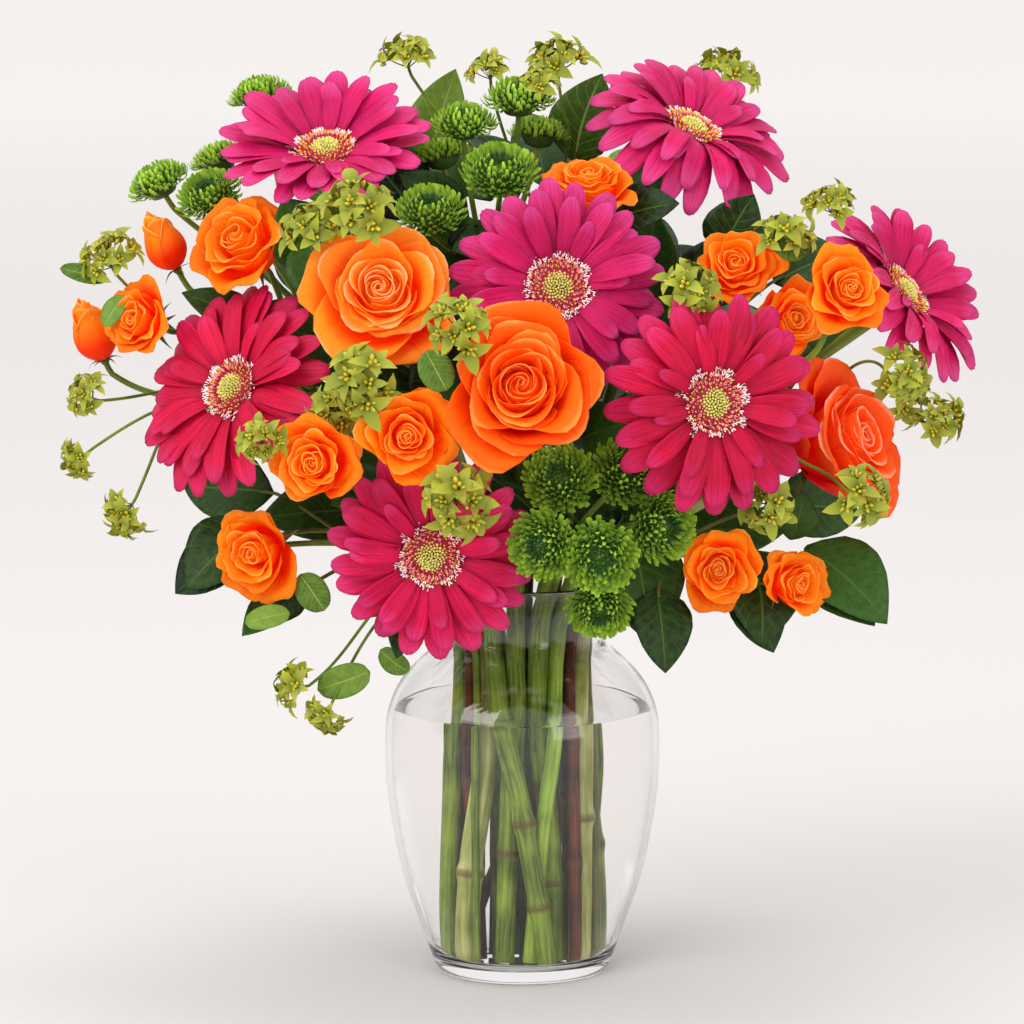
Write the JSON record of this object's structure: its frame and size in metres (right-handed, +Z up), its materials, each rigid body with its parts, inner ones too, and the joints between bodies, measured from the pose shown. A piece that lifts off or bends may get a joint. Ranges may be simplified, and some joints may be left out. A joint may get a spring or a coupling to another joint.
{
  "type": "gerbera bouquet in a vase",
  "caption": "Mixed bouquet of pink gerberas, orange roses, green button mums, bupleurum and leafy branches standing in water in a clear glass vase.",
  "frame": {"origin": "middle of the vase's underside, on the surface that it stands on", "axes": "+Z up along the vase's axis, -Y towards the bouquet's front, +X to the right as the front is seen"},
  "size_m": [0.4549, 0.3358, 0.4649],
  "materials": {
    "vase_glass": "gloss",
    "water": "gloss",
    "gerbera_petals": "satin",
    "gerbera_stem": "satin",
    "rose_petals": "satin",
    "spray_rose_petals": "satin",
    "rose_stem": "satin",
    "mum_florets": "matte",
    "bupleurum": "matte",
    "salal_leaf": "satin"
  },
  "bodies": {
    "root": {"vase": "vase_glass", "water": "water", "gerbera_1_flower": "gerbera_petals", "gerbera_1_stem": "gerbera_stem", "gerbera_2_flower": "gerbera_petals", "gerbera_2_stem": "gerbera_stem", "gerbera_3_flower": "gerbera_petals", "gerbera_3_stem": "gerbera_stem", "gerbera_4_flower": "gerbera_petals", "gerbera_4_stem": "gerbera_stem", "gerbera_5_flower": "gerbera_petals", "gerbera_5_stem": "gerbera_stem", "gerbera_6_flower": "gerbera_petals", "gerbera_6_stem": "gerbera_stem", "gerbera_7_flower": "gerbera_petals", "gerbera_7_stem": "gerbera_stem", "rose_1_bloom": "rose_petals", "rose_1_stem": "rose_stem", "rose_2_bloom": "rose_petals", "rose_2_stem": "rose_stem", "rose_3_bloom": "rose_petals", "rose_3_stem": "rose_stem", "spray_rose_1_bloom_1": "spray_rose_petals", "spray_rose_1_bloom_2": "spray_rose_petals", "spray_rose_1_bloom_3": "spray_rose_petals", "spray_rose_1_bloom_4": "spray_rose_petals", "spray_rose_1_stem": "rose_stem", "spray_rose_2_bloom_1": "spray_rose_petals", "spray_rose_2_bloom_2": "spray_rose_petals", "spray_rose_2_bloom_3": "spray_rose_petals", "spray_rose_2_stem": "rose_stem", "spray_rose_3_bloom_1": "spray_rose_petals", "spray_rose_3_bloom_2": "spray_rose_petals", "spray_rose_3_stem": "rose_stem", "spray_rose_4_bloom_1": "spray_rose_petals", "spray_rose_4_bloom_2": "spray_rose_petals", "spray_rose_4_stem": "rose_stem", "spray_rose_5_bloom_1": "spray_rose_petals", "spray_rose_5_bloom_2": "spray_rose_petals", "spray_rose_5_stem": "rose_stem", "mum_spray_1": "mum_florets", "mum_spray_2": "mum_florets", "mum_spray_3": "mum_florets", "bupleurum_1": "bupleurum", "bupleurum_2": "bupleurum", "bupleurum_3": "bupleurum", "bupleurum_4": "bupleurum", "leaf_branch_1": "salal_leaf", "leaf_branch_2": "salal_leaf", "leaf_branch_3": "salal_leaf", "leaf_branch_4": "salal_leaf", "leaf_branch_5": "salal_leaf", "leaf_branch_6": "salal_leaf", "leaf_branch_7": "salal_leaf"}
  },
  "joints": []
}
